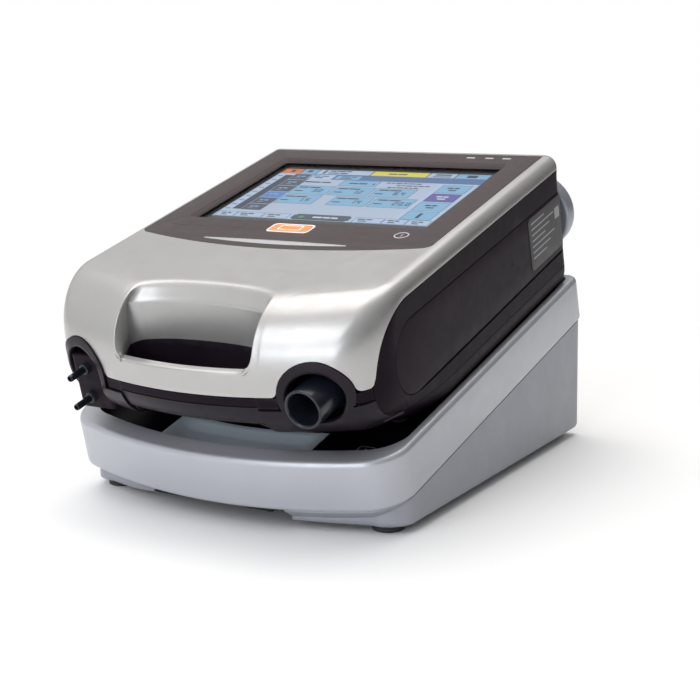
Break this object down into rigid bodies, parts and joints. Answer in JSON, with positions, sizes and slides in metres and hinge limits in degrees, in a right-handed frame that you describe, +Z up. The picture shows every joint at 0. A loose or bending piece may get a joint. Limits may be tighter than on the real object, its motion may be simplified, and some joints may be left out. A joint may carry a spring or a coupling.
{
  "type": "mechanical ventilator",
  "caption": "Portable ventilator with a silver carrying-handle shell, touch screen and conical patient port, seated nose-down on a sloping battery base.",
  "frame": {"origin": "on the floor under the middle of the bounding box", "axes": "+X to the ventilator's right as seen from its front, +Y from the nose to the rear, +Z up"},
  "size_m": [0.221, 0.2988, 0.1904],
  "materials": {
    "top_silver": "warm silver metallic paint, satin lacquer",
    "base_silver": "cool silver metallic paint, fine flake",
    "wedge_silver": "silver grey moulded plastic",
    "bezel_grey": "warm dark grey satin plastic",
    "case_black": "near-black fine texture",
    "panel_black": "black fine texture",
    "port_black": "blue-black semi gloss",
    "screen_glass": "dark-bordered touch glass",
    "screen_display": "lit colour display",
    "key_orange": "translucent orange",
    "key_white": "white",
    "light_pipe": "frosted clear",
    "plate_grey": "printed grey label, blank",
    "rubber_black": "matt black",
    "steel": "brushed",
    "board_green": "solder-masked board",
    "battery_blue": "wrapped battery pack",
    "cell_wrap": "sleeved steel cells",
    "contact_gold": "gold-plated",
    "duct_grey": "silicone",
    "filter_white": "filter felt",
    "cover_silver": "silver grey moulding",
    "clip_blue": "blue moulding",
    "chassis_grey": "glass-filled moulding",
    "rotor_cream": "moulded rotor"
  },
  "bodies": {
    "base": {"base_tray": "base_silver", "base_wedge": "wedge_silver", "base_bottom_plate": "rubber_black", "base_deck": "case_black", "base_feet": "rubber_black", "base_cells": "cell_wrap", "base_board": "board_green"},
    "ventilator": {"top_shell": "top_silver", "display_bezel": "bezel_grey", "bezel_gasket": "rubber_black", "touch_glass": "screen_glass", "lcd_panel": "screen_display", "lcd_frame": "steel", "alarm_key_surround": "key_white", "alarm_light_bar": "light_pipe", "status_lights": "light_pipe", "name_plate": "plate_grey", "middle_case": "case_black", "lower_case": "case_black", "right_side_panel": "panel_black", "left_side_panel": "panel_black", "rating_plate": "plate_grey", "port_surround": "case_black", "inspiratory_port": "port_black", "adapter_surround": "case_black", "adapter_module": "panel_black", "handle_grip": "case_black", "rear_panel": "case_black", "inlet_filter": "filter_white", "data_sockets": "steel", "oxygen_inlet": "cover_silver", "dc_inlet": "port_black", "battery_cover": "case_black", "device_feet": "rubber_black", "case_screws": "steel", "dock_pads": "contact_gold", "inner_chassis": "chassis_grey", "main_board": "board_green", "power_board": "board_green", "internal_battery": "battery_blue", "blower_volute": "chassis_grey", "blower_motor": "steel", "blower_mounts": "rubber_black", "inlet_duct": "panel_black", "outlet_duct": "duct_grey", "flow_sensor": "battery_blue", "fan_frame": "panel_black", "alarm_sounders": "panel_black"},
    "alarm_key": {"alarm_key": "key_orange"},
    "power_button": {"power_button": "panel_black"},
    "filter_cover": {"filter_cover": "cover_silver"},
    "blower_rotor": {"blower_rotor": "rotor_cream"},
    "fan_rotor": {"fan_rotor": "rotor_cream"},
    "adapter_release_button": {"adapter_release_button": "panel_black"},
    "valve_diaphragm": {"valve_diaphragm": "duct_grey"},
    "port_flap": {"port_flap": "rubber_black"},
    "oxygen_clip": {"oxygen_release_clip": "clip_blue"},
    "lock_slide": {"lock_slide": "chassis_grey"},
    "contact_pins": {"contact_pins": "contact_gold"},
    "gauge_button": {"gauge_button": "plate_grey"}
  },
  "joints": [
    {"name": "ventilator_lift", "type": "slide", "parent": "base", "child": "ventilator", "axis": [0, -0.2396, 0.9709], "range_m": [0, 0.06]},
    {"name": "lock_travel", "type": "slide", "parent": "base", "child": "lock_slide", "axis": [1, 0, 0], "range_m": [0, 0.006]},
    {"name": "contact_pins_press", "type": "slide", "parent": "base", "child": "contact_pins", "axis": [0, -0.2396, 0.9709], "range_m": [-0.0012, 0], "stiffness_N_per_m": 200},
    {"name": "gauge_button_press", "type": "slide", "parent": "base", "child": "gauge_button", "axis": [0, -0.2396, 0.9709], "range_m": [-0.001, 0], "stiffness_N_per_m": 400},
    {"name": "alarm_key_press", "type": "slide", "parent": "ventilator", "child": "alarm_key", "axis": [0, -0.2396, 0.9709], "range_m": [-0.0012, 0], "stiffness_N_per_m": 400},
    {"name": "power_button_press", "type": "slide", "parent": "ventilator", "child": "power_button", "axis": [0, -0.9709, -0.2396], "range_m": [0, 0.002], "stiffness_N_per_m": 400},
    {"name": "filter_cover_turn", "type": "hinge", "parent": "ventilator", "child": "filter_cover", "pos_m": [0.081, 0.13203, 0.14861], "axis": [0, 0.9709, 0.2396], "range_deg": [0, 45]},
    {"name": "blower_spin", "type": "hinge", "parent": "ventilator", "child": "blower_rotor", "pos_m": [0.052, 0.01161, 0.11066], "axis": [0, -0.2396, 0.9709], "continuous": true},
    {"name": "fan_spin", "type": "hinge", "parent": "ventilator", "child": "fan_rotor", "pos_m": [-0.072, 0.11308, 0.13776], "axis": [0, 0.9709, 0.2396], "continuous": true},
    {"name": "adapter_release_press", "type": "slide", "parent": "ventilator", "child": "adapter_release_button", "axis": [0, -0.2396, 0.9709], "range_m": [0, 0.003]},
    {"name": "valve_travel", "type": "slide", "parent": "ventilator", "child": "valve_diaphragm", "axis": [0, -0.2396, 0.9709], "range_m": [-0.0005, 0], "stiffness_N_per_m": 200},
    {"name": "port_flap_open", "type": "hinge", "parent": "ventilator", "child": "port_flap", "pos_m": [0, 0.12405, 0.14252], "axis": [1, 0, 0], "range_deg": [-100, 0]},
    {"name": "oxygen_clip_press", "type": "slide", "parent": "ventilator", "child": "oxygen_clip", "axis": [0, 0.2396, -0.9709], "range_m": [0, 0.002], "stiffness_N_per_m": 400}
  ]
}
